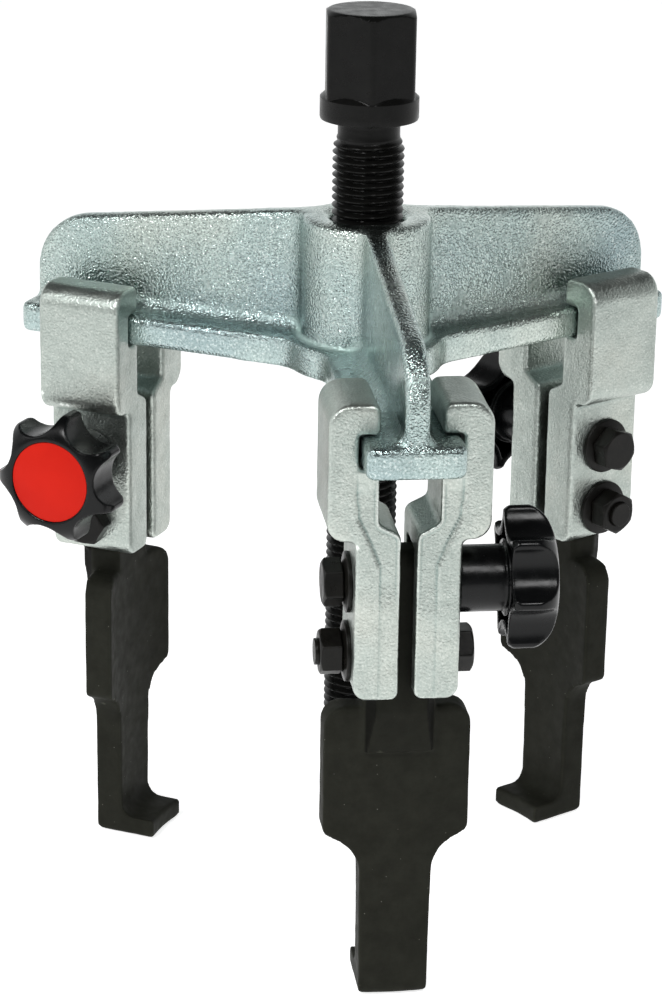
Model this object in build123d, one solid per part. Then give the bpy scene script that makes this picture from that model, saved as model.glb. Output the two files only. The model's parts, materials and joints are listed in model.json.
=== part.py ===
from build123d import *
import math
import os

# A three-jaw gear puller. A zinc-plated crossbeam carries a forcing screw in its hub, and on each
# of its three arms slides a clamping leg: two clamp halves, a slim jaw between them, a clamp bolt
# with a star knob, and a bolt that carries the jaw.
#
# Lengths are in millimetres. The origin is the tip of the forcing screw, on its axis, and +Z runs
# up the screw. The front arm points along -Y. Each leg is drawn with its arm along +X, so that in a
# leg x is the distance from the screw's axis, y runs across the leg, and the knob is on the +y side.

# ---- driving dimensions ----
ARM_NAMES = ["front", "right", "left"]
ARM_ANGLES = [-90.0, 30.0, 150.0]
SCREW_REACH = 140.0          # from the collar's underside to the tip
CLAW_FOOT_Z = -18.7          # underside of the claws, below the tip
REACH = 105.3                # from the claws' upper face to the crossbeam's underside
CLAW_THICKNESS = 4.0
LEG_RADIUS = 56.0            # the bolts of a leg, from the screw's axis

# ---- forcing screw, M14 x 1.5 ----
THREAD_RADIUS = 7.0
THREAD_PITCH = 1.5
THREAD_DEPTH = 0.92
NECK_RADIUS = 6.05
NECK_LENGTH = 3.2
COLLAR_RADIUS = 9.6
COLLAR_HEIGHT = 5.6
COLLAR_STRAIGHT = 4.2        # height of its cylindrical part, under the cone
COLLAR_CONE = 1.9            # how far the cone draws in
COLLAR_CHAMFER = 0.4
HEX_ACROSS_FLATS = 17.0
HEX_HEIGHT = 21.2            # from the collar's underside to the top face
HEX_TOP_RADIUS = 8.1
HEX_TURN = -95.0             # direction of one corner about Z
SOCKET_RADIUS = 3.05
SOCKET_DEPTH = 14.0
SCREW_END_Z = 6.0            # the screw's lower end face, above the pressure point's tip

# ---- pressure point and its ball ----
NOSE_RADIUS = 4.0
NOSE_CHAMFER = 0.5
NOSE_LENGTH = SCREW_END_Z - 0.15
POINT_STEM_RADIUS = 3.0
POINT_STEM_TOP_Z = 14.0
BALL_RADIUS = 2.9

# ---- crossbeam ----
FLANGE_BOTTOM_Z = CLAW_FOOT_Z + CLAW_THICKNESS + REACH
FLANGE_TOP_Z = FLANGE_BOTTOM_Z + 6.0
ARM_LENGTH = 72.3
ARM_HALF_WIDTH = 9.1
WEB_HALF_THICKNESS = 2.3
WEB_FOOT_RADIUS = 3.0
WEB_SLOPE = 7.5              # degrees that the web's top edge falls outwards
WEB_END_RADIUS = 12.0
WEB_END_INSET = 0.7
WEB_EDGE_ROUND = 1.2
ARM_CORNER_RADIUS = 2.2
HUB_RADIUS = 12.7
HUB_TOP_Z = FLANGE_TOP_Z + 24.3
HUB_BLEND_RADIUS = 4.0
HUB_DISC_RADIUS = 15.2
HUB_ARM_LENGTH = 24.0        # how far the hub's and the disc's plan shapes follow each arm
BORE_CLEARANCE = 0.13
BORE_CHAMFER = 1.0
EDGE_ROUND = 1.0

# ---- clamp halves ----
HALF_INNER_X = 47.0
HALF_OUTER_X = 64.7
HALF_TOP_Z = FLANGE_TOP_Z + 5.9
HALF_SHOULDER_Z = FLANGE_BOTTOM_Z - 14.1
HALF_BOTTOM_Z = FLANGE_BOTTOM_Z - 45.0
LEDGE_Z = FLANGE_BOTTOM_Z - 10.8
LEDGE_DROP = 2.2
UPPER_HALF_WIDTH = 15.0
LOWER_HALF_WIDTH = 9.75
SLOT_HALF_WIDTH = 1.45
MOUTH_HALF_WIDTH = 5.6
FLANGE_PLAY = 0.15
POCKET_SIDE_PLAY = 0.3
HALF_EDGE_ROUND = 0.85
TONGUE_PLAY = 0.3

# ---- jaw ----
JAW_INNER_RADIUS = 51.4
JAW_OUTER_RADIUS = 57.2
CLAW_TIP_RADIUS = 44.1
CLAW_ROOT_RADIUS = 3.0
PLATE_HALF_WIDTH = 13.9
PLATE_TOP_Z = HALF_BOTTOM_Z - 4.7     # the shoulders beside the tongue
PLATE_BOTTOM_Z = CLAW_FOOT_Z + 33.6
STEM_TOP_HALF_WIDTH = 6.95
STEM_FOOT_HALF_WIDTH = 6.6
STEM_TOP_Z = PLATE_BOTTOM_Z - 3.2
TONGUE_HALF_WIDTH = 6.1
TONGUE_INNER_X = 51.3
TONGUE_OUTER_X = 60.3
TONGUE_TOP_Z = HALF_BOTTOM_Z + 27.0
BOSS_TOP_Z = HALF_BOTTOM_Z - 0.5
BOSS_FOOT_Z = BOSS_TOP_Z - 12.8
BOSS_FULL_Z = BOSS_TOP_Z - 3.8      # from here up the boss stands out as far as the tongue
BOSS_FOOT_PROUD = 0.9
BOSS_EASE = 2.4              # the tongue's square corners stay this far inside the boss
BOSS_DRAFT = 0.62            # sideways slope of the boss, per millimetre that it stands out

# ---- bolts, washers and nut of a leg, M5 ----
CLAMP_BOLT_Z = CLAW_FOOT_Z + 84.7
JAW_BOLT_Z = CLAW_FOOT_Z + 71.1
BOLT_RADIUS = 2.5
BOLT_HOLE_RADIUS = 2.7
BOLT_ACROSS_FLATS = 8.0
BOLT_CROWN_RADIUS = 3.76     # of the flat inside the chamfer
BOLT_HEAD_HEIGHT = 3.6
NUT_HEIGHT = 4.0
NUT_OVERRUN = 0.8            # bolt end that shows past the nut
WASHER_RADIUS = 5.7
WASHER_HOLE_RADIUS = 2.75
WASHER_THICKNESS = 0.8
WASHER_CONE = 0.7            # height of the conical washer's dish

# ---- star knob ----
KNOB_HUB_RADIUS = 6.25
KNOB_START_Y = LOWER_HALF_WIDTH + 0.25
KNOB_STAR_Y = KNOB_START_Y + 8.9
KNOB_END_Y = KNOB_START_Y + 17.8
KNOB_RADIUS = 13.5
KNOB_LOBES = 7
KNOB_FLUTE_RADIUS = 6.0
KNOB_FLUTE_CENTRE = 15.7
KNOB_TIP_ROUND = 0.9
KNOB_DOME_DROP = 5.0         # height of the domed edge, from the front face down
KNOB_TURN = 4.0              # direction of the first lobe, from the arm's outward direction
KNOB_CAP_RADIUS = 8.3
KNOB_CAP_DEPTH = 1.4
KNOB_WALL = 1.5
KNOB_POCKET_INNER = 7.2
KNOB_POCKET_DEPTH = 5.4
INSERT_RADIUS = 4.0
INSERT_BORE = 2.56
CLAMP_BOLT_REACH = KNOB_END_Y - 4.0
HEX_CHAMFER_SLOPE = math.tan(math.radians(30))


def outline(points):
    """A closed face in the plane's own coordinates from (u, v, corner radius) rows."""
    corners = [(u, v) for u, v, radius in points]
    radii = [radius for u, v, radius in points]
    return make_face(FilletPolyline(*corners, radius=radii, close=True))


def across(face, start, end):
    """Extrude a face drawn in (y, z) along +X, from x = start to x = end."""
    return extrude(Plane.YZ.offset(start) * face, end - start)


def side(face, start, end):
    """Extrude a face drawn in (x, z) along +Y, from y = start to y = end."""
    return extrude(Plane.XZ.offset(-start) * face, start - end)


def along_y(x, z, start, end, radius):
    """A round bar along +Y."""
    bar = extrude(Plane.XZ.offset(-start) * Circle(radius), start - end)
    return Pos(x, 0, z) * bar


def spin(profile):
    """A solid of revolution about Z from (radius, height) points in order."""
    return revolve(Plane.XZ * make_face(Polyline(*profile, close=True)), Axis.Z)


def hexagon_prism(across_flats, height, crown_radius):
    """A hexagon standing on z = 0 with its upper corners turned down to a cone."""
    corner_radius = across_flats / math.sqrt(3)
    prism = extrude(RegularPolygon(corner_radius, 6), height)
    outside = corner_radius + 1
    drop = (outside - crown_radius) * HEX_CHAMFER_SLOPE
    cone = spin([(0, 0), (outside, 0), (outside, height - drop), (crown_radius, height), (0, height)])
    return prism & cone


# ---- crossbeam ----
def make_crossbeam():
    slope = math.tan(math.radians(WEB_SLOPE))
    web_top_at_axis = HUB_TOP_Z + slope * HUB_RADIUS
    web_top_at_end = web_top_at_axis - slope * ARM_LENGTH

    flange = extrude(RectangleRounded(2 * ARM_LENGTH, 2 * ARM_HALF_WIDTH, ARM_CORNER_RADIUS),
                     FLANGE_TOP_Z - FLANGE_BOTTOM_Z)
    flange = fillet(flange.edges().group_by(Axis.Z)[0] + flange.edges().group_by(Axis.Z)[-1], EDGE_ROUND)
    flange = Pos(0, 0, FLANGE_BOTTOM_Z) * flange
    flange = flange & Pos(ARM_LENGTH, 0, 0) * Box(2 * ARM_LENGTH - 2, 100, 1000)

    web_end_x = ARM_LENGTH - WEB_END_INSET
    web = side(outline([
        (0, FLANGE_BOTTOM_Z + 2, 0),
        (web_end_x, FLANGE_BOTTOM_Z + 2, 0),
        (web_end_x, web_top_at_end, WEB_END_RADIUS),
        (0, web_top_at_axis, 0),
    ]), -WEB_HALF_THICKNESS, WEB_HALF_THICKNESS)
    web_rims = [edge for edge in web.edges()
                if abs(abs(edge.center().Y) - WEB_HALF_THICKNESS) < 0.01
                and edge.center().Z > FLANGE_BOTTOM_Z + 3 and edge.center().X > 1]
    web = fillet(web_rims, WEB_EDGE_ROUND)

    foot_face = make_face(
        Polyline((WEB_HALF_THICKNESS, FLANGE_TOP_Z + WEB_FOOT_RADIUS),
                 (WEB_HALF_THICKNESS - 0.5, FLANGE_TOP_Z + WEB_FOOT_RADIUS),
                 (WEB_HALF_THICKNESS - 0.5, FLANGE_TOP_Z - 0.5),
                 (WEB_HALF_THICKNESS + WEB_FOOT_RADIUS, FLANGE_TOP_Z - 0.5),
                 (WEB_HALF_THICKNESS + WEB_FOOT_RADIUS, FLANGE_TOP_Z))
        + RadiusArc((WEB_HALF_THICKNESS + WEB_FOOT_RADIUS, FLANGE_TOP_Z),
                    (WEB_HALF_THICKNESS, FLANGE_TOP_Z + WEB_FOOT_RADIUS), WEB_FOOT_RADIUS))
    foot = across(foot_face, HUB_RADIUS, web_end_x - 1.2)
    arm = flange + web + foot + mirror(foot, about=Plane.XZ)

    hub_plan = Circle(HUB_RADIUS)
    disc_plan = Circle(HUB_DISC_RADIUS)
    for angle in ARM_ANGLES:
        along_arm = Rot(0, 0, angle) * Pos(HUB_ARM_LENGTH / 2, 0)
        hub_plan += along_arm * Rectangle(HUB_ARM_LENGTH, 2 * WEB_HALF_THICKNESS)
        disc_plan += along_arm * Rectangle(HUB_ARM_LENGTH, 2 * ARM_HALF_WIDTH)
    hub_corners = [v for v in hub_plan.vertices() if abs(Vector(v.X, v.Y).length - HUB_RADIUS) < 0.1]
    disc_corners = [v for v in disc_plan.vertices()
                    if abs(Vector(v.X, v.Y).length - HUB_DISC_RADIUS) < 0.1]
    hub_plan = fillet(hub_corners, HUB_BLEND_RADIUS)
    disc_plan = fillet(disc_corners, 2 * HUB_BLEND_RADIUS)
    hub = Pos(0, 0, FLANGE_BOTTOM_Z) * extrude(hub_plan, HUB_TOP_Z - FLANGE_BOTTOM_Z)
    top = spin([(0, 0), (ARM_LENGTH, 0), (ARM_LENGTH, web_top_at_end),
                (HUB_RADIUS, HUB_TOP_Z), (0, HUB_TOP_Z)])
    hub = hub & top
    disc = Pos(0, 0, FLANGE_BOTTOM_Z) * extrude(disc_plan, FLANGE_TOP_Z - FLANGE_BOTTOM_Z)

    beam = hub + disc
    for angle in ARM_ANGLES:
        beam += Rot(0, 0, angle) * arm
    above_hub = Pos(0, 0, HUB_TOP_Z) * extrude(Circle(HUB_RADIUS), 10)
    bore_radius = THREAD_RADIUS + BORE_CLEARANCE
    bore = spin([(0, FLANGE_BOTTOM_Z - 1), (bore_radius + BORE_CHAMFER + 1, FLANGE_BOTTOM_Z - 1),
                 (bore_radius, FLANGE_BOTTOM_Z + BORE_CHAMFER), (bore_radius, HUB_TOP_Z - BORE_CHAMFER),
                 (bore_radius + BORE_CHAMFER + 1, HUB_TOP_Z + 1), (0, HUB_TOP_Z + 1)])
    return beam - above_hub - bore


# ---- forcing screw, pressure point and ball ----
def make_spindle():
    collar_z = SCREW_REACH
    thread_top = collar_z - NECK_LENGTH
    thread_bottom = SCREW_END_Z + 2.0
    root = THREAD_RADIUS - THREAD_DEPTH
    profile = [(0, SCREW_END_Z), (root - 1.0, SCREW_END_Z), (root, thread_bottom - 1.0)]
    turns = int((thread_top - thread_bottom) / THREAD_PITCH)
    crest = THREAD_PITCH / 8
    for turn in range(turns):
        start = thread_bottom + turn * THREAD_PITCH
        profile.append((root, start))
        profile.append((THREAD_RADIUS, start + THREAD_PITCH / 2 - crest))
        profile.append((THREAD_RADIUS, start + THREAD_PITCH / 2 + crest))
    profile.append((root, thread_bottom + turns * THREAD_PITCH))
    profile.append((NECK_RADIUS, thread_top))
    profile.append((NECK_RADIUS, collar_z))
    profile.append((0, collar_z))
    shank = spin(profile)
    collar = spin([(0, collar_z), (COLLAR_RADIUS - COLLAR_CHAMFER, collar_z),
                   (COLLAR_RADIUS, collar_z + COLLAR_CHAMFER), (COLLAR_RADIUS, collar_z + COLLAR_STRAIGHT),
                   (COLLAR_RADIUS - COLLAR_CONE, collar_z + COLLAR_HEIGHT), (0, collar_z + COLLAR_HEIGHT)])
    hexagon = hexagon_prism(HEX_ACROSS_FLATS, HEX_HEIGHT, HEX_TOP_RADIUS)
    hexagon = Pos(0, 0, collar_z) * Rot(0, 0, HEX_TURN) * hexagon
    socket = Pos(0, 0, SCREW_END_Z) * extrude(Circle(SOCKET_RADIUS), SOCKET_DEPTH)
    return shank + collar + hexagon - socket


def make_pressure_point():
    return spin([(0, 0), (NOSE_RADIUS - NOSE_CHAMFER, 0), (NOSE_RADIUS, NOSE_CHAMFER),
                 (NOSE_RADIUS, NOSE_LENGTH), (POINT_STEM_RADIUS, NOSE_LENGTH),
                 (POINT_STEM_RADIUS, POINT_STEM_TOP_Z), (0, POINT_STEM_TOP_Z)])


def make_thrust_ball():
    return Pos(0, 0, POINT_STEM_TOP_Z + BALL_RADIUS) * Sphere(BALL_RADIUS)


# ---- clamp halves ----
def make_half_plain():
    """The half on the knob side, before its bolt holes."""
    pocket_floor = FLANGE_BOTTOM_Z - FLANGE_PLAY
    pocket_roof = FLANGE_TOP_Z + FLANGE_PLAY
    pocket_wall = ARM_HALF_WIDTH + POCKET_SIDE_PLAY
    section = outline([
        (SLOT_HALF_WIDTH, HALF_BOTTOM_Z, 1.6),
        (LOWER_HALF_WIDTH, HALF_BOTTOM_Z, 2.6),
        (LOWER_HALF_WIDTH, HALF_SHOULDER_Z, 1.2),
        (UPPER_HALF_WIDTH, HALF_SHOULDER_Z, 3.6),
        (UPPER_HALF_WIDTH, HALF_TOP_Z, 4.2),
        (MOUTH_HALF_WIDTH, HALF_TOP_Z, 1.8),
        (MOUTH_HALF_WIDTH, pocket_roof, 0.9),
        (pocket_wall, pocket_roof, 0.5),
        (pocket_wall, pocket_floor, 0.5),
        (MOUTH_HALF_WIDTH, pocket_floor, 0.9),
        (MOUTH_HALF_WIDTH, LEDGE_Z, 1.2),
        (SLOT_HALF_WIDTH, LEDGE_Z - LEDGE_DROP, 1.8),
    ])
    half = across(section, HALF_INNER_X, HALF_OUTER_X)
    rims = [edge for edge in half.edges()
            if abs(edge.center().X - HALF_OUTER_X) < 0.01 or abs(edge.center().X - HALF_INNER_X) < 0.01]
    half = fillet(rims, HALF_EDGE_ROUND)
    channel_x = (TONGUE_INNER_X + TONGUE_OUTER_X) / 2
    channel_width = TONGUE_HALF_WIDTH + TONGUE_PLAY
    channel_length = TONGUE_OUTER_X - TONGUE_INNER_X + 2 * TONGUE_PLAY
    channel_height = TONGUE_TOP_Z + 1.0 - HALF_BOTTOM_Z
    channel = Pos(channel_x, 0, HALF_BOTTOM_Z + channel_height / 2 - 1) * Box(
        channel_length, 2 * channel_width, channel_height + 2)
    return half - channel


def make_clamp_halves():
    holes = along_y(LEG_RADIUS, CLAMP_BOLT_Z, -20, 20, BOLT_HOLE_RADIUS)
    holes += along_y(LEG_RADIUS, JAW_BOLT_Z, -20, 20, BOLT_HOLE_RADIUS)
    knob_side = make_half_plain()
    bolt_side = mirror(knob_side, about=Plane.XZ)
    return knob_side - holes, bolt_side - holes


# ---- jaw ----
def boss_section(z, proud):
    """The drafted boss on the jaw's outer face, cut level at a height."""
    back = TONGUE_INNER_X + 0.4
    front = JAW_OUTER_RADIUS + proud
    wide = TONGUE_HALF_WIDTH + BOSS_DRAFT
    narrow = wide - BOSS_DRAFT * proud
    return Plane.XY.offset(z) * make_face(Polyline(
        (back, -wide), (JAW_OUTER_RADIUS, -wide), (front, -narrow),
        (front, narrow), (JAW_OUTER_RADIUS, wide), (back, wide), close=True))


def make_boss():
    full = TONGUE_OUTER_X - JAW_OUTER_RADIUS
    lower = loft([boss_section(BOSS_FOOT_Z, BOSS_FOOT_PROUD), boss_section(BOSS_FULL_Z, full)], ruled=True)
    return lower + extrude(boss_section(BOSS_FULL_Z, full), BOSS_TOP_Z - BOSS_FULL_Z)


def make_jaw():
    profile = outline([
        (CLAW_TIP_RADIUS, CLAW_FOOT_Z, 0.8),
        (JAW_OUTER_RADIUS, CLAW_FOOT_Z, 1.6),
        (JAW_OUTER_RADIUS, PLATE_TOP_Z, 1.2),
        (JAW_INNER_RADIUS, PLATE_TOP_Z, 1.0),
        (JAW_INNER_RADIUS, CLAW_FOOT_Z + CLAW_THICKNESS, CLAW_ROOT_RADIUS),
        (CLAW_TIP_RADIUS, CLAW_FOOT_Z + CLAW_THICKNESS, 0.6),
    ])
    sweep_angle = 36
    shell = revolve(Plane.XZ * profile, Axis.Z, sweep_angle)
    shell = Rot(0, 0, -sweep_angle / 2) * shell
    front = outline([
        (-STEM_FOOT_HALF_WIDTH, CLAW_FOOT_Z, 1.0),
        (STEM_FOOT_HALF_WIDTH, CLAW_FOOT_Z, 1.0),
        (STEM_TOP_HALF_WIDTH, STEM_TOP_Z, 7.0),
        (PLATE_HALF_WIDTH, PLATE_BOTTOM_Z, 2.0),
        (PLATE_HALF_WIDTH, PLATE_TOP_Z, 4.4),
        (-PLATE_HALF_WIDTH, PLATE_TOP_Z, 4.4),
        (-PLATE_HALF_WIDTH, PLATE_BOTTOM_Z, 2.0),
        (-STEM_TOP_HALF_WIDTH, STEM_TOP_Z, 7.0),
    ])
    plate = shell & across(front, CLAW_TIP_RADIUS - 5, JAW_OUTER_RADIUS + 5)
    tongue = side(outline([
        (TONGUE_INNER_X, PLATE_TOP_Z - 3, 0),
        (TONGUE_OUTER_X - BOSS_EASE, PLATE_TOP_Z - 3, 0),
        (TONGUE_OUTER_X - BOSS_EASE, BOSS_TOP_Z - 1, 0),
        (TONGUE_OUTER_X, BOSS_TOP_Z, 0),
        (TONGUE_OUTER_X, TONGUE_TOP_Z, 3.0),
        (TONGUE_INNER_X, TONGUE_TOP_Z, 3.0),
    ]), -TONGUE_HALF_WIDTH, TONGUE_HALF_WIDTH)
    holes = along_y(LEG_RADIUS, CLAMP_BOLT_Z, -20, 20, BOLT_HOLE_RADIUS)
    holes += along_y(LEG_RADIUS, JAW_BOLT_Z, -20, 20, BOLT_HOLE_RADIUS)
    return plate + tongue + make_boss() - holes


# ---- bolts, washers and nut ----
def facing(y, direction, z, solid):
    """Stand a solid drawn on z = 0 at the leg's bolt line, its +Z turned to +Y or -Y."""
    return Pos(LEG_RADIUS, y, z) * Rot(-90 * direction, 0, 0) * solid


def make_washer():
    """A conical spring washer that stands on its rim and dishes upwards to its hole."""
    return spin([(WASHER_HOLE_RADIUS, WASHER_CONE), (WASHER_RADIUS, 0), (WASHER_RADIUS, WASHER_THICKNESS),
                 (WASHER_HOLE_RADIUS, WASHER_CONE + WASHER_THICKNESS)])


def make_bolt(head_y, head_direction, end_y, z, turn):
    head = Rot(0, 0, turn) * hexagon_prism(BOLT_ACROSS_FLATS, BOLT_HEAD_HEIGHT, BOLT_CROWN_RADIUS)
    low, high = sorted([head_y, end_y])
    return facing(head_y, head_direction, z, head) + along_y(LEG_RADIUS, z, low, high, BOLT_RADIUS)


def make_nut():
    nut = Rot(0, 0, 30) * hexagon_prism(BOLT_ACROSS_FLATS, NUT_HEIGHT, BOLT_CROWN_RADIUS)
    return nut - extrude(Circle(BOLT_RADIUS), NUT_HEIGHT + 1)


def make_fasteners():
    washer_height = WASHER_CONE + WASHER_THICKNESS
    bolt_face = -LOWER_HALF_WIDTH
    seat = bolt_face - washer_height
    nut_end = seat - NUT_HEIGHT - NUT_OVERRUN
    washer = make_washer()
    return {
        "clamp_bolt": make_bolt(seat, -1, CLAMP_BOLT_REACH, CLAMP_BOLT_Z, 42),
        "clamp_bolt_washer": facing(bolt_face, -1, CLAMP_BOLT_Z, washer),
        "jaw_bolt": make_bolt(LOWER_HALF_WIDTH, 1, nut_end, JAW_BOLT_Z, 60),
        "jaw_bolt_washer": facing(bolt_face, -1, JAW_BOLT_Z, washer),
        "jaw_bolt_nut": facing(seat, -1, JAW_BOLT_Z, make_nut()),
    }


# ---- star knob ----
def make_knob_pieces():
    """Knob body, cap and insert, drawn standing on z = 0 with the star on top."""
    star_z = KNOB_STAR_Y - KNOB_START_Y
    top_z = KNOB_END_Y - KNOB_START_Y
    star = Circle(KNOB_RADIUS)
    for lobe in range(KNOB_LOBES):
        angle = 360 / KNOB_LOBES * (lobe + 0.5)
        star -= Rot(0, 0, angle) * Pos(KNOB_FLUTE_CENTRE, 0) * Circle(KNOB_FLUTE_RADIUS)
    star = fillet(star.vertices(), KNOB_TIP_ROUND)
    rim = Pos(0, 0, star_z) * extrude(star, top_z - star_z)
    outside = KNOB_RADIUS + 0.2
    edge_in = KNOB_RADIUS - 0.8
    dome_foot = top_z - KNOB_DOME_DROP
    dome_edge = ThreePointArc((outside, dome_foot), (KNOB_RADIUS - 1.2, top_z - KNOB_DOME_DROP * 0.4),
                              (KNOB_CAP_RADIUS + 0.6, top_z))
    dome_rest = Polyline((KNOB_CAP_RADIUS + 0.6, top_z), (0, top_z), (0, star_z), (edge_in, star_z),
                         (outside, star_z + 1.2), (outside, dome_foot))
    dome = revolve(Plane.XZ * make_face(dome_edge + dome_rest), Axis.Z)
    body = (rim & dome) + extrude(Circle(KNOB_HUB_RADIUS), star_z + 1)
    ring = offset(star, -KNOB_WALL) - Circle(KNOB_POCKET_INNER)
    body -= Pos(0, 0, star_z - 1) * extrude(ring, KNOB_POCKET_DEPTH + 1)
    cap_z = top_z - KNOB_CAP_DEPTH
    body -= Pos(0, 0, cap_z) * extrude(Circle(KNOB_CAP_RADIUS), KNOB_CAP_DEPTH + 1)
    insert_length = CLAMP_BOLT_REACH - KNOB_START_Y + 0.5
    body -= extrude(Circle(INSERT_RADIUS), insert_length)

    cap_radius = KNOB_CAP_RADIUS - 0.05
    crown = ThreePointArc((0, top_z + 0.35), (cap_radius / 2, top_z + 0.2), (cap_radius, top_z - 0.3))
    rim_line = Polyline((cap_radius, top_z - 0.3), (cap_radius, cap_z), (0, cap_z), (0, top_z + 0.35))
    cap = revolve(Plane.XZ * make_face(crown + rim_line), Axis.Z)

    insert = extrude(Circle(INSERT_RADIUS), insert_length)
    insert -= extrude(Circle(INSERT_BORE), insert_length)
    return {"knob": body, "knob_cap": cap, "knob_insert": insert}


def make_leg():
    knob_half, bolt_half = make_clamp_halves()
    leg = {"clamp_half_knob_side": knob_half, "clamp_half_bolt_side": bolt_half, "jaw": make_jaw()}
    leg.update(make_fasteners())
    for name, piece in make_knob_pieces().items():
        leg[name] = facing(KNOB_START_Y, 1, CLAMP_BOLT_Z, Rot(0, 0, KNOB_TURN) * piece)
    return leg


def write(node, solid):
    export_step(solid, os.path.join("parts", node + ".step"))


os.makedirs("parts", exist_ok=True)
write("crossbeam", make_crossbeam())
write("spindle", make_spindle())
write("pressure_point", make_pressure_point())
write("thrust_ball", make_thrust_ball())
leg_pieces = make_leg()
for arm_name, arm_angle in zip(ARM_NAMES, ARM_ANGLES):
    for piece_name, piece in leg_pieces.items():
        write(arm_name + "_" + piece_name, Rot(0, 0, arm_angle) * piece)
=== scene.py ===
import json
import math

import bpy
import numpy as np
from mathutils import Matrix, Vector, noise


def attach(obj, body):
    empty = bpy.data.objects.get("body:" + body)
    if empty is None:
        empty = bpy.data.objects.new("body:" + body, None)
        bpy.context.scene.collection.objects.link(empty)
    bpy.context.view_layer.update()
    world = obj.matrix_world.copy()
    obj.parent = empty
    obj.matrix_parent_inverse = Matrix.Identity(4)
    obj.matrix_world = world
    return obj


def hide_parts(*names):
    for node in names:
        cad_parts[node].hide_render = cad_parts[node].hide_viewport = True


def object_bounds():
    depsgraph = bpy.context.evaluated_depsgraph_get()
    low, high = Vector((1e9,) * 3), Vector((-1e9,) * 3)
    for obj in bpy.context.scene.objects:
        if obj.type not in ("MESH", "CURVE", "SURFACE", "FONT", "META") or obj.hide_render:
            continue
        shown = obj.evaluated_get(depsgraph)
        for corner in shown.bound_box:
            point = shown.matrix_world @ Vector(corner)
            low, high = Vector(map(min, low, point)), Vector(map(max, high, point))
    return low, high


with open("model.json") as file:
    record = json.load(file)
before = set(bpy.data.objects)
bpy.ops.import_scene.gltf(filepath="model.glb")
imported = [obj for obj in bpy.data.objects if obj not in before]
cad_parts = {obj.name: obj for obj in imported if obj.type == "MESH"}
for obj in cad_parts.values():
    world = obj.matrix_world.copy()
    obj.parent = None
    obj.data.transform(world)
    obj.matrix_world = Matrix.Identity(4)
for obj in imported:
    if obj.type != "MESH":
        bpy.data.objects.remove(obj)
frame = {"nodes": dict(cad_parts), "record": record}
cad_low, cad_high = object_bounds()
cad_nodes = frame["nodes"]

# A three-jaw gear puller, in metres, in the CAD frame: the origin is the tip of the forcing screw,
# +Z runs up the screw, and the front arm points along -Y.
LEG_ANGLES = {"front": -90.0, "right": 30.0, "left": 150.0}
MM = 0.001


# ---- small helpers ----
def leg_turn(leg):
    """Turns a leg drawn with its arm along +X to where that leg is."""
    return Matrix.Rotation(math.radians(LEG_ANGLES[leg]), 4, "Z")


def new_object(name, mesh):
    piece = bpy.data.objects.new(name, mesh)
    bpy.context.scene.collection.objects.link(piece)
    return piece


def mesh_from(name, vertices, faces, sharp_degrees=None):
    mesh = bpy.data.meshes.new(name)
    mesh.from_pydata([tuple(v) for v in vertices], [], faces)
    mesh.validate()
    shade(mesh, sharp_degrees)
    return mesh


def shade(mesh, sharp_degrees=None):
    """Smooth shading, with the edges over an angle kept sharp."""
    mesh.polygons.foreach_set("use_smooth", [True] * len(mesh.polygons))
    if sharp_degrees is not None:
        mesh.set_sharp_from_angle(angle=math.radians(sharp_degrees))
    mesh.update()


# ---- materials ----
# A fine skin fades over this range of the Layer Weight node's Facing, down to a share of its strength.
GRAZING_RANGE = (0.60, 0.86)
GRAZING_REST = 0.04


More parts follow.
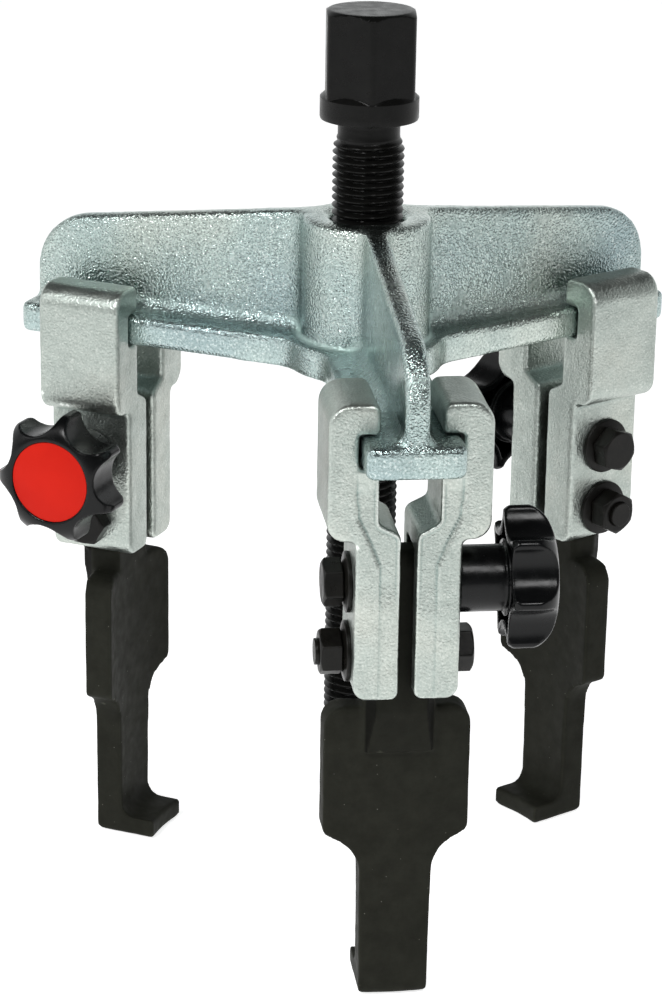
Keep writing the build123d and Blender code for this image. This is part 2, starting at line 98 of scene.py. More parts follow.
class Shader:
    """A Principled material, with the nodes that the metals, the plastics and the floor share."""

    def __init__(self, name):
        self.material = bpy.data.materials.new(name)
        self.material.use_nodes = True
        self.nodes = self.material.node_tree.nodes
        self.links = self.material.node_tree.links
        self.bsdf = self.nodes["Principled BSDF"]
        self.place = self.nodes.new("ShaderNodeTexCoord").outputs["Object"]

    def set(self, **values):
        for socket, value in values.items():
            self.bsdf.inputs[socket.replace("_", " ")].default_value = value
        return self

    def noise(self, scale, detail=2.0, roughness=0.5, stretch=(1, 1, 1)):
        mapping = self.nodes.new("ShaderNodeMapping")
        mapping.inputs["Scale"].default_value = stretch
        self.links.new(self.place, mapping.inputs["Vector"])
        texture = self.nodes.new("ShaderNodeTexNoise")
        texture.inputs["Scale"].default_value = scale
        texture.inputs["Detail"].default_value = detail
        texture.inputs["Roughness"].default_value = roughness
        self.links.new(mapping.outputs["Vector"], texture.inputs["Vector"])
        return texture.outputs["Fac"]

    def cells(self, scale):
        """The distance to the nearest of a field of scattered points."""
        texture = self.nodes.new("ShaderNodeTexVoronoi")
        texture.inputs["Scale"].default_value = scale
        self.links.new(self.place, texture.inputs["Vector"])
        return texture.outputs["Distance"]

    def remap(self, source, low, high, to_low, to_high):
        node = self.nodes.new("ShaderNodeMapRange")
        node.inputs["From Min"].default_value = low
        node.inputs["From Max"].default_value = high
        node.inputs["To Min"].default_value = to_low
        node.inputs["To Max"].default_value = to_high
        self.links.new(source, node.inputs["Value"])
        return node.outputs["Result"]

    def ramp(self, source, stops):
        """A colour ramp through (position, colour) stops."""
        node = self.nodes.new("ShaderNodeValToRGB")
        ramp = node.color_ramp
        while len(ramp.elements) < len(stops):
            ramp.elements.new(0.5)
        for element, (position, colour) in zip(ramp.elements, stops):
            element.position = position
            element.color = (*colour, 1)
        self.links.new(source, node.inputs["Fac"])
        return node.outputs["Color"]

    def mix(self, factor, first, second):
        """From the first colour to the second by the factor; each is an output or a tuple."""
        node = self.nodes.new("ShaderNodeMix")
        node.data_type = "RGBA"
        self.links.new(factor, node.inputs["Factor"])
        for socket, value in (("A", first), ("B", second)):
            target = [i for i in node.inputs if i.name == socket and i.type == "RGBA"][0]
            if isinstance(value, tuple):
                target.default_value = (*value, 1)
            else:
                self.links.new(value, target)
        return [o for o in node.outputs if o.type == "RGBA"][0]

    def edge_wear_and_highlight(self, low, high):
        """1 on convex edges and 0 on flats, from the surface's pointiness; the pale edges it makes are
        partly rubbed wear and partly a painted highlight.
        """
        geometry = self.nodes.new("ShaderNodeNewGeometry")
        return self.remap(geometry.outputs["Pointiness"], low, high, 0.0, 1.0)

    def painted_hollow_shade(self, low, high):
        """Painted shade in concave corners: 1 there and 0 on flats, from the surface's pointiness."""
        geometry = self.nodes.new("ShaderNodeNewGeometry")
        return self.remap(geometry.outputs["Pointiness"], low, high, 1.0, 0.0)

    def fine(self, full):
        """A grain strength that falls at grazing angles, where a fine skin hides its own hollows."""
        angle = self.nodes.new("ShaderNodeLayerWeight")
        return self.remap(angle.outputs["Facing"], *GRAZING_RANGE, full, full * GRAZING_REST)

    def mask(self):
        """The marks that worked() leaves on a mesh, 0 where there are none."""
        node = self.nodes.new("ShaderNodeAttribute")
        node.attribute_name = "mask"
        return node.outputs["Fac"]

    def times(self, first, second):
        """The product of two outputs."""
        node = self.nodes.new("ShaderNodeMath")
        node.operation = "MULTIPLY"
        self.links.new(first, node.inputs[0])
        self.links.new(second, node.inputs[1])
        return node.outputs[0]

    def bump(self, layers):
        """Bump from (height output, strength, distance) layers, one on top of the other."""
        previous = None
        for height, strength, distance in layers:
            node = self.nodes.new("ShaderNodeBump")
            if isinstance(strength, (int, float)):
                node.inputs["Strength"].default_value = strength
            else:
                self.links.new(strength, node.inputs["Strength"])
            node.inputs["Distance"].default_value = distance
            self.links.new(height, node.inputs["Height"])
            if previous is not None:
                self.links.new(previous, node.inputs["Normal"])
            previous = node.outputs["Normal"]
        self.links.new(previous, self.bsdf.inputs["Normal"])
        return self

    def colour(self, output):
        self.links.new(output, self.bsdf.inputs["Base Color"])
        return self

    def rough(self, output):
        self.links.new(output, self.bsdf.inputs["Roughness"])
        return self


def zinc_forging():
    """Bright zinc plate over the orange-peel skin of a forging, with painted shade in the hollows: a pale
    teal there, dull and less metallic.

    The mask marks the trimmed faces, where the skin is nearly smooth.
    """
    s = Shader("zinc_plated_forging")
    broad = s.noise(28, detail=2)
    base = s.ramp(broad, [(0.30, (0.30, 0.39, 0.40)), (0.50, (0.40, 0.49, 0.47)),
                          (0.70, (0.52, 0.57, 0.52))])
    grain = s.noise(2300, detail=2, roughness=0.6)
    dark_grain = s.remap(grain, 0.36, 0.48, 0.45, 0.0)
    pale_grain = s.remap(grain, 0.55, 0.68, 0.0, 0.45)
    base = s.mix(dark_grain, base, (0.16, 0.21, 0.20))
    base = s.mix(pale_grain, base, (0.80, 0.84, 0.81))
    # Painted shade: the hollows take a flat teal colour, less metallic and rougher, in place of their
    # shade.
    painted_hollow_shade = s.painted_hollow_shade(0.46, 0.496)
    s.colour(s.mix(painted_hollow_shade, base, (0.46, 0.62, 0.58)))
    polish = s.remap(s.noise(300, detail=3), 0.3, 0.7, 0.18, 0.30)
    s.rough(s.mix(painted_hollow_shade, polish, (0.46, 0.46, 0.46)))
    s.links.new(s.remap(painted_hollow_shade, 0.0, 1.0, 1.0, 0.2), s.bsdf.inputs["Metallic"])
    trimmed = s.remap(s.mask(), 0.0, 1.0, 1.0, 0.3)
    skin = s.noise(2100, detail=1, roughness=0.5)
    return s.bump([(skin, s.times(s.fine(1.0), trimmed), 0.00032)]).material


def zinc_clamp():
    """Satin zinc plate over a fine blasted skin, with painted shade in its hollows and a painted
    highlight along its convex edges.
    """
    s = Shader("zinc_plated_clamp").set(Metallic=1.0)
    base = s.ramp(s.noise(60, detail=4), [(0.30, (0.37, 0.415, 0.385)), (0.52, (0.43, 0.475, 0.44)),
                                          (0.72, (0.49, 0.52, 0.475))])
    speckle = s.noise(2400, detail=2)
    dark_speckle = s.remap(speckle, 0.35, 0.47, 0.3, 0.0)
    pale_speckle = s.remap(speckle, 0.55, 0.70, 0.0, 0.4)
    base = s.mix(dark_speckle, base, (0.26, 0.31, 0.29))
    base = s.mix(pale_speckle, base, (0.70, 0.73, 0.69))
    # Painted shade: the hollows darken to a deep teal.
    base = s.mix(s.painted_hollow_shade(0.455, 0.498), base, (0.18, 0.25, 0.235))
    # Painted highlight: the convex edges turn pale.
    s.colour(s.mix(s.edge_wear_and_highlight(0.52, 0.62), base, (0.80, 0.84, 0.80)))
    s.rough(s.remap(s.noise(340, detail=4), 0.3, 0.7, 0.28, 0.44))
    grain = s.noise(2100, detail=2)
    return s.bump([(s.noise(420, detail=1), 0.15, 0.00014), (grain, 0.8, 0.00016)]).material


def black_metal(name, base, light, roughness, specular, grain_scale, grain_strength, dust=0.0):
    """Black oxide or phosphate: nearly black, with paler rubbed edges, fine grain and dust specks.

    The mask marks painted shade, where the tone darkens towards 0.35 of the base.
    """
    s = Shader(name).set(Specular_IOR_Level=specular)
    tone = s.ramp(s.noise(240, detail=5, roughness=0.7), [(0.35, base), (0.65, light)])
    worn = tuple(min(1.0, c * 3.0) for c in light)
    shaded = tuple(c * 0.35 for c in base)
    tone = s.mix(s.edge_wear_and_highlight(0.53, 0.68), tone, worn)
    # Painted shade where the mask is set, such as on the sloping sides of a jaw's boss.
    tone = s.mix(s.mask(), tone, shaded)
    if dust > 0:
        tone = s.mix(s.remap(s.cells(430), 0.0, 0.062, dust, 0.0), tone, (0.20, 0.20, 0.17))
    s.colour(tone)
    s.rough(s.remap(s.noise(420, detail=5), 0.3, 0.7, roughness - 0.07, roughness + 0.09))
    grain = s.noise(grain_scale, detail=3)
    return s.bump([(s.noise(210, detail=3), 0.15, 0.0001), (grain, grain_strength, 0.00006)]).material


def plastic(name, base, light, roughness, specular, bump_strength):
    """Moulded plastic with a faint mottle and a very fine texture."""
    s = Shader(name).set(Specular_IOR_Level=specular)
    tone = s.ramp(s.noise(70, detail=4), [(0.35, base), (0.65, light)])
    s.colour(tone)
    s.rough(s.remap(s.noise(420, detail=4), 0.3, 0.7, roughness - 0.05, roughness + 0.08))
    return s.bump([(s.noise(900, detail=3), bump_strength, 0.00005)]).material


def bright_steel():
    """Bare turned steel, its grain drawn out across the upright axis."""
    s = Shader("bright_steel").set(Metallic=1.0)
    s.colour(s.ramp(s.noise(160, detail=4), [(0.3, (0.45, 0.45, 0.44)), (0.7, (0.63, 0.63, 0.61))]))
    s.rough(s.remap(s.noise(600, detail=3, stretch=(1, 1, 6)), 0.3, 0.7, 0.22, 0.36))
    return s.bump([(s.noise(1500, detail=2, stretch=(1, 1, 8)), 0.3, 0.00004)]).material


MATERIALS = {
    "zinc_plated_forging": zinc_forging(),
    "zinc_plated_clamp": zinc_clamp(),
    "black_oxide_screw": black_metal(
        "black_oxide_screw", base=(0.0025, 0.0025, 0.0023), light=(0.0045, 0.0045, 0.0042),
        roughness=0.30, specular=0.14, grain_scale=1400, grain_strength=0.15),
    "black_jaw_steel": black_metal(
        "black_jaw_steel", base=(0.0140, 0.0143, 0.0108), light=(0.0195, 0.0200, 0.0152),
        roughness=0.55, specular=0.05, grain_scale=1500, grain_strength=0.3, dust=0.9),
    "black_oxide_fastener": black_metal(
        "black_oxide_fastener", base=(0.0035, 0.0033, 0.0028), light=(0.0075, 0.0070, 0.0058),
        roughness=0.33, specular=0.17, grain_scale=1600, grain_strength=0.2),
    "black_plastic": plastic(
        "black_plastic", base=(0.0016, 0.0018, 0.002), light=(0.003, 0.0033, 0.0036),
        roughness=0.22, specular=0.22, bump_strength=0.12),
    "red_plastic": plastic(
        "red_plastic", base=(0.50, 0.009, 0.003), light=(0.56, 0.012, 0.004),
        roughness=0.45, specular=0.10, bump_strength=0.15),
    "bright_steel": bright_steel(),
}


def finish_piece(piece, slot, body):
    """Gives a piece the material of its slot and attaches it to the body it rides."""
    piece.data.materials.clear()
    piece.data.materials.append(MATERIALS[slot])
    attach(piece, body)


# ---- forged, cast and moulded pieces: the CAD solid with real edge radii and an uneven skin ----
BLEND_LEVELS = 5
BLEND_PASSES = 120

# How the skin of each kind of piece is made: voxel size, passes of smoothing, (height, length) waves.
FORGED = (0.42 * MM, 12, [(0.05 * MM, 9 * MM), (0.006 * MM, 1.8 * MM)])
CAST = (0.34 * MM, 4, [(0.08 * MM, 5 * MM), (0.03 * MM, 1.4 * MM)])
FORGED_JAW = (0.38 * MM, 4, [(0.07 * MM, 6 * MM), (0.03 * MM, 1.6 * MM)])
MOULDED = (0.24 * MM, 5, [(0.02 * MM, 3 * MM)])
FASTENER_VOXEL = 0.15 * MM


def rising(values, start, width):
    """0 up to the start, 1 from a width past it, and straight between."""
    return np.clip((values - start) / width, 0, 1)


def falling(values, end, width):
    """1 until a width before the end, 0 from the end on, and straight between."""
    return np.clip((end - values) / width, 0, 1)


def points_of(mesh):
    points = np.empty(len(mesh.vertices) * 3, np.float32)
    mesh.vertices.foreach_get("co", points)
    return points.reshape(-1, 3)


def normals_of(mesh):
    normals = np.empty(len(mesh.vertices) * 3, np.float32)
    mesh.vertex_normals.foreach_get("vector", normals)
    return normals.reshape(-1, 3)


def evaluated(work, name):
    """The mesh of a working object with its modifiers applied; the object is removed."""
    graph = bpy.context.evaluated_depsgraph_get()
    mesh = bpy.data.meshes.new_from_object(work.evaluated_get(graph))
    mesh.name = name
    bpy.data.objects.remove(work)
    return mesh


def softened(mesh, soften):
    """The mesh with the points that soften() weights smoothed far more, for a broad blend."""
    work = new_object("softening_work", mesh)
    weights = soften(points_of(mesh))
    group = work.vertex_groups.new(name="blend")
    for level in range(1, BLEND_LEVELS + 1):
        rows = np.nonzero(np.round(weights * BLEND_LEVELS) == level)[0]
        group.add(rows.tolist(), level / BLEND_LEVELS, "REPLACE")
    smooth = work.modifiers.new("blend", "SMOOTH")
    smooth.factor = 0.5
    smooth.iterations = BLEND_PASSES
    smooth.vertex_group = "blend"
    return evaluated(work, mesh.name)


def worked(node, name, turn, skin, seed, shape=None, soften=None, mark=None):
    """A finely remeshed copy of a CAD node, with rounded edges and waves on its skin.

    turn takes the node drawn with its arm along +X to where it is, and everything else is done in
    that drawn position. shape gives each point a height change, soften the points that get many more
    passes of smoothing, and mark the mask that the piece's material reads.
    """
    voxel, smoothing, waves = skin
    source = cad_nodes[node].data.copy()
    source.transform(turn.inverted())
    work = new_object(name + "_work", source)
    remesh = work.modifiers.new("remesh", "REMESH")
    remesh.mode = "VOXEL"
    remesh.voxel_size = voxel
    smooth = work.modifiers.new("smooth", "SMOOTH")
    smooth.factor = 0.5
    smooth.iterations = smoothing
    mesh = evaluated(work, name)
    if soften is not None:
        mesh = softened(mesh, soften)
    points = points_of(mesh)
    normals = normals_of(mesh)
    heights = np.zeros(len(points), np.float32)
    for wave, (height, length) in enumerate(waves):
        offset = Vector((seed * 3.7, seed * 1.9 + wave * 11.3, seed * 5.3))
        rows = [noise.noise(Vector(point) / length + offset) for point in points.tolist()]
        heights += np.array(rows, np.float32) * height
    if shape is not None:
        heights += shape(points, normals)
    if mark is not None:
        mask = mesh.attributes.new("mask", "FLOAT", "POINT")
        mask.data.foreach_set("value", mark(points, normals).astype(np.float32))
    points = points + normals * heights[:, None]
    mesh.vertices.foreach_set("co", points.ravel())
    mesh.transform(turn)
    shade(mesh)
    return new_object(name, mesh)


# Measures of the crossbeam: its hub, the three webs on its arms, and the flange under them.
HUB_TOP_Z = 120.9 * MM
HUB_RIM_MIN_RADIUS = 10.5 * MM
WEB_ROOT_RADIUS = 12.7 * MM
WEB_TOP_SLOPE = math.radians(7.5)
WEB_CREST_HALF_WIDTH = 1.9 * MM
FLANGE_EDGE_TOP_Z = 96.2 * MM

# The corners between hub and webs are blended round this radius, this far across, and between these
# heights; the rounded edges take a smaller share of the smoothing.
CORNER_RADIUS = 14.0 * MM
CORNER_REACH = 8.5 * MM
CORNER_BOTTOM_Z = 99 * MM
CORNER_TOP_Z = 119 * MM
EDGE_SHARE = 0.2


def hub_blends(points):
    """1 along the upright corners between the hub and its webs, less on their rounded top edges."""
    radius = np.hypot(points[:, 0], points[:, 1])
    height = points[:, 2]
    angle = np.degrees(np.arctan2(points[:, 1], points[:, 0]))
    off_arm = np.abs((angle - 30 + 60) % 120 - 60)
    across = radius * np.sin(np.radians(off_arm))
    corners = np.clip(1.6 - np.abs(radius - CORNER_RADIUS) / (2.6 * MM), 0, 1)
    corners = corners * falling(across, CORNER_REACH, 2 * MM)
    corners = corners * rising(across, WEB_CREST_HALF_WIDTH, 0.4 * MM)
    corners = corners * rising(height, CORNER_BOTTOM_Z, 3 * MM)
    corners = corners * falling(height, CORNER_TOP_Z, 2 * MM)
    web_top = HUB_TOP_Z - math.tan(WEB_TOP_SLOPE) * (radius - WEB_ROOT_RADIUS)
    on_web_top = np.clip((height - web_top) / (1 * MM) + 3.4, 0, 1) * rising(radius, 13 * MM, 2 * MM)
    on_rim = np.clip(2.2 - np.abs(height - HUB_TOP_Z) / (1 * MM), 0, 1) * (radius > HUB_RIM_MIN_RADIUS)
    return np.maximum(np.maximum(corners, EDGE_SHARE * on_web_top), EDGE_SHARE * on_rim)


def trimmed_faces(points, normals):
    """1 on the flange's upright edges, where the flash of the forging was trimmed off."""
    on_flange = falling(points[:, 2], FLANGE_EDGE_TOP_Z, 0.8 * MM)
    upright = falling(np.abs(normals[:, 2]), 0.5, 0.3)
    return on_flange * upright


def make_crossbeam():
    piece = worked("crossbeam", "crossbeam_forging", Matrix.Identity(4), FORGED, 1,
                   soften=hub_blends, mark=trimmed_faces)
    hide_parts("crossbeam")
    finish_piece(piece, "zinc_plated_forging", "crossbeam")


# The recessed strip on a clamp half's outer face follows its inner outline: (height, distance across).
STRIP_EDGE = [(40 * MM, 5.4 * MM), (71.5 * MM, 5.4 * MM), (76.2 * MM, 7.2 * MM), (80.8 * MM, 9.4 * MM),
              (86 * MM, 10.0 * MM), (110 * MM, 10.0 * MM)]
STRIP_DEPTH = 0.5 * MM
STRIP_BLEND = 0.3 * MM
STRIP_MIN_X = 56 * MM
STRIP_FADE_Z = 60 * MM
STRIP_TOP_Z = 90 * MM
STRIP_LEAST = 0.35


def strip_on_half(points, normals):
    """Height change that sinks the strip along the inner outline of a half's outer face."""
    height = points[:, 2]
    edge = np.interp(height, [row[0] for row in STRIP_EDGE], [row[1] for row in STRIP_EDGE])
    inside = np.clip((edge - np.abs(points[:, 1])) / STRIP_BLEND + 0.5, 0, 1)
    outward = rising(np.abs(normals[:, 0]), 0.75, 0.2)
    outer = points[:, 0] > STRIP_MIN_X
    depth = np.clip((height - STRIP_FADE_Z) / (8 * MM), STRIP_LEAST, 1)
    depth = depth * falling(height, STRIP_TOP_Z, 4 * MM)
    return -STRIP_DEPTH * inside * inside * (3 - 2 * inside) * outward * outer * depth


def make_clamp_halves():
    for index, leg in enumerate(LEG_ANGLES):
        for side_index, side in enumerate(("knob_side", "bolt_side")):
            node = f"{leg}_clamp_half_{side}"
            seed = 10 + 2 * index + side_index
            piece = worked(node, node + "_casting", leg_turn(leg), CAST, seed, shape=strip_on_half)
            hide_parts(node)
            finish_piece(piece, "zinc_plated_clamp", leg + "_leg")


JAW_FACE_X = 57.2 * MM
BOSS_FRONT_SHADE = 0.3


def boss_shade(points, normals):
    """1 on the sloping sides of the boss at the top of a jaw's outer face, and less on its front."""
    proud = rising(points[:, 0] - JAW_FACE_X, 0.3 * MM, 0.4 * MM)
    sloping = rising(np.abs(normals[:, 1]), 0.25, 0.3)
    return proud * np.maximum(BOSS_FRONT_SHADE, sloping)


def make_jaws():
    for index, leg in enumerate(LEG_ANGLES):
        piece = worked(leg + "_jaw", leg + "_jaw_forging", leg_turn(leg), FORGED_JAW, 20 + index,
                       mark=boss_shade)
        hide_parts(leg + "_jaw")
        finish_piece(piece, "black_jaw_steel", leg + "_leg")


# ---- moulded star knobs, and the fasteners with their edges broken ----
def make_knobs():
    for index, leg in enumerate(LEG_ANGLES):
        piece = worked(leg + "_knob", leg + "_knob_moulding", leg_turn(leg), MOULDED, 30 + index)
        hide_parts(leg + "_knob")
        finish_piece(piece, "black_plastic", leg + "_knob_body")


# Passes of smoothing on each kind of fastener; a washer's thin rim takes fewer.
FASTENERS = {"clamp_bolt": 2, "jaw_bolt": 2, "jaw_bolt_nut": 2,
             "clamp_bolt_washer": 1, "jaw_bolt_washer": 1}


def make_fasteners():
    for leg in LEG_ANGLES:
        for kind, smoothing in FASTENERS.items():
            node = f"{leg}_{kind}"
            skin = (FASTENER_VOXEL, smoothing, [])
            piece = worked(node, node + "_finished", leg_turn(leg), skin, 0)
            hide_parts(node)
            finish_piece(piece, "black_oxide_fastener", leg + "_leg")


# ---- forcing screw with a real helical thread ----
SCREW_END = 6.0 * MM
TIP_CHAMFER = 1.2 * MM
THREAD_START = 1.1 * MM
THREAD_RADIUS = 7.0 * MM
THREAD_DEPTH = 0.92 * MM
THREAD_PITCH = 1.5 * MM
THREAD_ROOT = THREAD_RADIUS - THREAD_DEPTH
STEPS_PER_PITCH = 8
NECK_RADIUS = 6.05 * MM
NECK_LENGTH = 3.2 * MM
COLLAR_Z = 140.0 * MM
COLLAR_RADIUS = 9.6 * MM
COLLAR_HEIGHT = 4.2 * MM
COLLAR_CONE_DROP = 2.1 * MM
COLLAR_CONE_RISE = 1.9 * MM
CONE_STEPS = 14
HEX_ACROSS_FLATS = 17.0 * MM
HEX_CORNER_CUT = 0.25 * MM
HEX_CONE = math.radians(30)
HEX_TOP_RADIUS = 8.1 * MM
HEX_TOP_Z = 161.2 * MM
HEX_TURN = math.radians(-95.0)
TOP_RINGS = [7.95 * MM, 7.0 * MM, 4.0 * MM, 1.5 * MM]
SOCKET_RADIUS = 3.05 * MM
SOCKET_DEPTH = 14 * MM
SPINDLE_SIDES = 144


def thread_radius(angle, z):
    """Radius of the right-hand thread at an angle and a height, with rounded crests and roots."""
    phase = (z / THREAD_PITCH - angle / (2 * math.pi)) % 1.0
    ridge = 1 - abs(phase - 0.5) * 2
    ridge = min(1.0, max(0.0, (ridge - 0.12) / 0.74))
    start = min(1.0, max(0.0, (z - SCREW_END - 1.0 * MM) / (1.5 * MM)))
    run_out = min(1.0, max(0.0, (COLLAR_Z - NECK_LENGTH - z) / (2.2 * MM)))
    return THREAD_ROOT + THREAD_DEPTH * ridge * start * run_out


def hex_radius(angle, z):
    """Radius of the hexagon head, its corners broken and turned down by a cone at the top."""
    turned = (angle - HEX_TURN) % (math.pi / 3) - math.pi / 6
    flat = HEX_ACROSS_FLATS / 2 / math.cos(turned)
    flat = min(flat, HEX_ACROSS_FLATS / math.sqrt(3) - HEX_CORNER_CUT)
    top_cone = HEX_TOP_RADIUS + (HEX_TOP_Z - z) / math.tan(HEX_CONE)
    return min(flat, top_cone)


def round_section(radius):
    """A round section of the screw, as a radius at an angle and a height."""
    return lambda angle, z: radius


def cone_section(radius):
    """A round section that gives way to the hexagon wherever the hexagon is wider."""
    return lambda angle, z: max(radius, hex_radius(angle, z))


def spindle_sections():
    """The outer surface of the screw from its tip up, as (height, radius function) rows."""
    sections = [(SCREW_END, round_section(THREAD_ROOT - TIP_CHAMFER)),
                (SCREW_END + 0.9 * MM, round_section(THREAD_ROOT))]
    z = SCREW_END + THREAD_START
    while z < COLLAR_Z - NECK_LENGTH:
        sections.append((z, thread_radius))
        z += THREAD_PITCH / STEPS_PER_PITCH
    for height in np.linspace(COLLAR_Z - NECK_LENGTH + 0.1 * MM, COLLAR_Z - 0.35 * MM, 4):
        sections.append((height, round_section(NECK_RADIUS)))

    # the fillet under the collar, the broken edge of its rim, and its side
    sections.append((COLLAR_Z - 0.1 * MM, round_section(NECK_RADIUS + 0.12 * MM)))
    sections.append((COLLAR_Z, round_section(NECK_RADIUS + 0.4 * MM)))
    sections.append((COLLAR_Z, round_section(COLLAR_RADIUS - 0.5 * MM)))
    sections.append((COLLAR_Z + 0.12 * MM, round_section(COLLAR_RADIUS - 0.12 * MM)))
    sections.append((COLLAR_Z + 0.5 * MM, round_section(COLLAR_RADIUS)))
    for step in range(1, 5):
        sections.append((COLLAR_Z + 0.5 * MM + step * 0.9 * MM, round_section(COLLAR_RADIUS)))

    # the cone from the collar to the hexagon, the hexagon, and its turned top
    collar_top = COLLAR_Z + COLLAR_HEIGHT
    for step in range(CONE_STEPS + 1):
        drop = COLLAR_CONE_DROP * step / CONE_STEPS
        rise = COLLAR_CONE_RISE * step / CONE_STEPS
        sections.append((collar_top + 0.1 * MM + rise, cone_section(COLLAR_RADIUS - drop)))
    for height in np.linspace(collar_top + 2.4 * MM, HEX_TOP_Z - 2.2 * MM, 10):
        sections.append((height, hex_radius))
    for height in np.linspace(HEX_TOP_Z - 2.0 * MM, HEX_TOP_Z - 0.05 * MM, 14):
        sections.append((height, hex_radius))
    return sections + [(HEX_TOP_Z, round_section(radius)) for radius in TOP_RINGS]


def make_spindle():
    """The forcing screw: a skin through its sections, closed on top, with a socket up its tip."""
    angles = [2 * math.pi * i / SPINDLE_SIDES for i in range(SPINDLE_SIDES)]
    vertices = []
    faces = []

    def add_ring(height, radius):
        first = len(vertices)
        for angle in angles:
            r = radius(angle, height)
            vertices.append((r * math.cos(angle), r * math.sin(angle), height))
        return first

    def join(lower, upper, inward=False):
        for i in range(SPINDLE_SIDES):
            j = (i + 1) % SPINDLE_SIDES
            if inward:
                faces.append((lower + j, lower + i, upper + i, upper + j))
            else:
                faces.append((lower + i, lower + j, upper + j, upper + i))

    sections = spindle_sections()
    tip = add_ring(*sections[0])
    previous = tip
    for height, radius in sections[1:]:
        ring = add_ring(height, radius)
        join(previous, ring)
        previous = ring
    faces.append(tuple(previous + i for i in range(SPINDLE_SIDES)))

    previous = tip
    for height, radius in ((SCREW_END, SOCKET_RADIUS + 0.2 * MM), (SCREW_END + 0.2 * MM, SOCKET_RADIUS),
                           (SCREW_END + SOCKET_DEPTH, SOCKET_RADIUS)):
        ring = add_ring(height, round_section(radius))
        join(previous, ring, inward=True)
        previous = ring
    faces.append(tuple(previous + i for i in reversed(range(SPINDLE_SIDES))))

    mesh = mesh_from("forcing_screw", vertices, faces, sharp_degrees=28)
    piece = new_object("forcing_screw", mesh)
    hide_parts("spindle")
    finish_piece(piece, "black_oxide_screw", "spindle")


# ---- CAD nodes that keep their shape get their finish ----
def finish_cad_nodes():
    slots = {row["node"]: row["material_slot"] for row in frame["record"]["subparts"]}
    for name, node in cad_nodes.items():
        node.data.materials.clear()
        node.data.materials.append(MATERIALS[slots[name]])


# ---- floor, light and camera ----
FLOOR_HALF_SIZE = 6.0
FLOOR_GAP = 0.0002
FLOOR_GLOW = 0.80

# The room's walls by their height on the unit sphere: (low, high, brightness at low, brightness at high).
BACK_WALL = (0.40, 0.56, 1.05, 0.09)
FRONT_WALL = (0.05, 0.40, 0.30, 0.07)
# One wall gives way to the other over this range from front to back.
WALLS_MEET = (-0.35, 0.35)
ROOM_COLOUR = (0.98, 1.0, 1.0, 1)

# Each softbox: name, place, size (across, up) and radiance. All of them face the middle of the object.
SOFTBOXES = [
    ("front_left_softbox", (-0.31, -0.35, 0.50), (0.13, 0.18), 26),
    ("front_right_softbox", (0.14, -0.43, 0.52), (0.11, 0.18), 14),
    ("left_softbox", (-0.75, -0.20, 0.45), (0.45, 0.45), 1.5),
    ("right_softbox", (0.80, 0.05, 0.40), (0.30, 0.50), 0.3),
]

# The camera's place is given round the object's upright axis, in degrees and metres; its lens in mm.
CAMERA_AZIMUTH = -7.84
CAMERA_ELEVATION = 19.19
CAMERA_DISTANCE = 0.6362
CAMERA_TARGET_Z = 0.06198
CAMERA_YAW = -0.587
CAMERA_ROLL = 0.942
CAMERA_LENS = 114.1
CAMERA_SENSOR = 36.0
CAMERA_CLIP = (0.01, 50.0)


def make_floor():
    """A white table lit from below as well, as product photographs use."""
    size = FLOOR_HALF_SIZE
    mesh = mesh_from("floor", [(-size, -size, 0), (size, -size, 0), (size, size, 0), (-size, size, 0)],
                     [(0, 1, 2, 3)])
    floor = new_object("floor", mesh)
    floor.location.z = cad_low.z - FLOOR_GAP
    s = Shader("pale_floor")
    s.colour(s.ramp(s.noise(3), [(0.3, (0.86, 0.86, 0.86)), (0.7, (0.88, 0.88, 0.88))]))
    s.set(Roughness=0.9, Emission_Color=(1, 1, 1, 1), Emission_Strength=FLOOR_GLOW)
    floor.data.materials.append(s.material)


def add_softbox(name, place, target, size, radiance):
    """An area light at a place, turned to a target, of a given size (across, up) and brightness."""
    light = bpy.data.lights.new(name, "AREA")
    light.shape = "RECTANGLE"
    light.size, light.size_y = size
    light.energy = radiance * math.pi * size[0] * size[1]
    lamp = bpy.data.objects.new(name, light)
    bpy.context.scene.collection.objects.link(lamp)
    lamp.location = place
    lamp.rotation_euler = (Vector(target) - Vector(place)).to_track_quat("-Z", "Y").to_euler()
    lamp.visible_camera = False


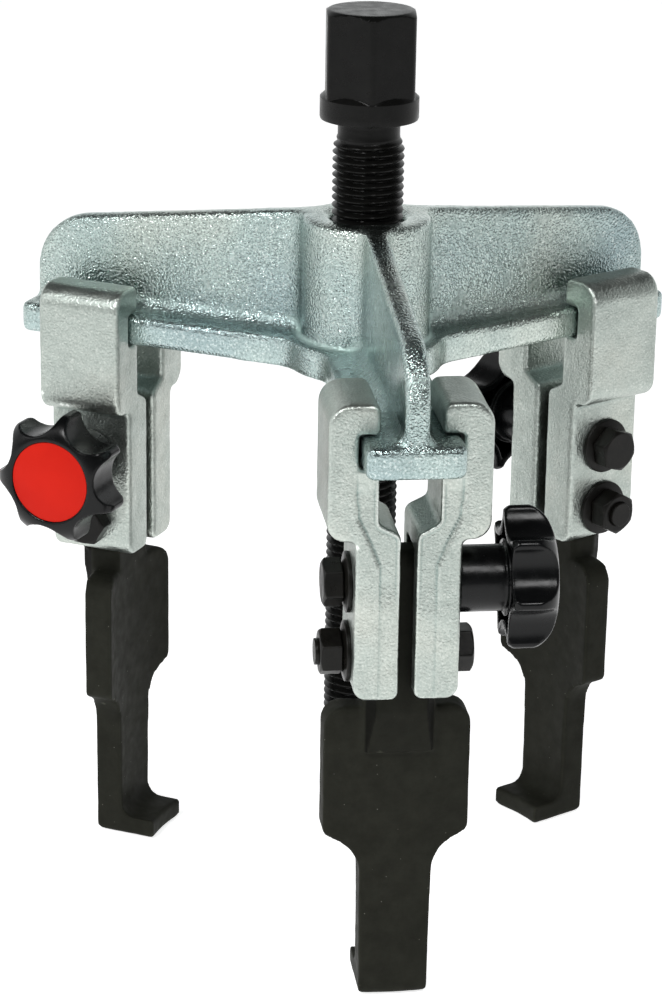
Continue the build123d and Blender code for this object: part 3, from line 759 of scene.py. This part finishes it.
def make_world():
    """A studio room: a white backdrop behind the object, and a dim ceiling and front."""
    world = bpy.data.worlds.new("studio")
    bpy.context.scene.world = world
    world.use_nodes = True
    nodes, links = world.node_tree.nodes, world.node_tree.links
    parts = nodes.new("ShaderNodeSeparateXYZ")
    links.new(nodes.new("ShaderNodeTexCoord").outputs["Generated"], parts.inputs["Vector"])
    shades = []
    for low, high, at_low, at_high in (BACK_WALL, FRONT_WALL):
        wall = nodes.new("ShaderNodeMapRange")
        wall.inputs["From Min"].default_value = low
        wall.inputs["From Max"].default_value = high
        wall.inputs["To Min"].default_value = at_low
        wall.inputs["To Max"].default_value = at_high
        links.new(parts.outputs["Z"], wall.inputs["Value"])
        shades.append(wall.outputs["Result"])
    back_shade, front_shade = shades
    behind = nodes.new("ShaderNodeMapRange")
    behind.inputs["From Min"].default_value, behind.inputs["From Max"].default_value = WALLS_MEET
    links.new(parts.outputs["Y"], behind.inputs["Value"])
    blend = nodes.new("ShaderNodeMix")
    links.new(behind.outputs["Result"], blend.inputs["Factor"])
    links.new(front_shade, blend.inputs["A"])
    links.new(back_shade, blend.inputs["B"])
    links.new(blend.outputs["Result"], nodes["Background"].inputs["Strength"])
    nodes["Background"].inputs["Color"].default_value = ROOM_COLOUR


def make_lights():
    centre = (cad_low + cad_high) / 2
    make_world()
    for name, place, size, radiance in SOFTBOXES:
        add_softbox(name, place, centre, size, radiance)
    bpy.context.scene.view_settings.view_transform = "Standard"


def make_camera():
    data = bpy.data.cameras.new("camera")
    data.lens = CAMERA_LENS
    data.sensor_width = CAMERA_SENSOR
    data.clip_start, data.clip_end = CAMERA_CLIP
    camera = bpy.data.objects.new("camera", data)
    bpy.context.scene.collection.objects.link(camera)
    bpy.context.scene.camera = camera
    azimuth, elevation = math.radians(CAMERA_AZIMUTH), math.radians(CAMERA_ELEVATION)
    away = Vector((math.sin(azimuth) * math.cos(elevation), -math.cos(azimuth) * math.cos(elevation),
                   math.sin(elevation)))
    camera.location = Vector((0, 0, CAMERA_TARGET_Z)) + away * CAMERA_DISTANCE
    yaw = Matrix.Rotation(-math.radians(CAMERA_YAW), 3, "Z")
    look = yaw @ -away
    aim = look.to_track_quat("-Z", "Y").to_matrix()
    roll = Matrix.Rotation(math.radians(CAMERA_ROLL), 3, "Z")
    camera.rotation_euler = (aim @ roll).to_euler()


make_camera()
make_lights()
make_floor()
finish_cad_nodes()
make_crossbeam()
make_clamp_halves()
make_jaws()
make_knobs()
make_fasteners()
make_spindle()
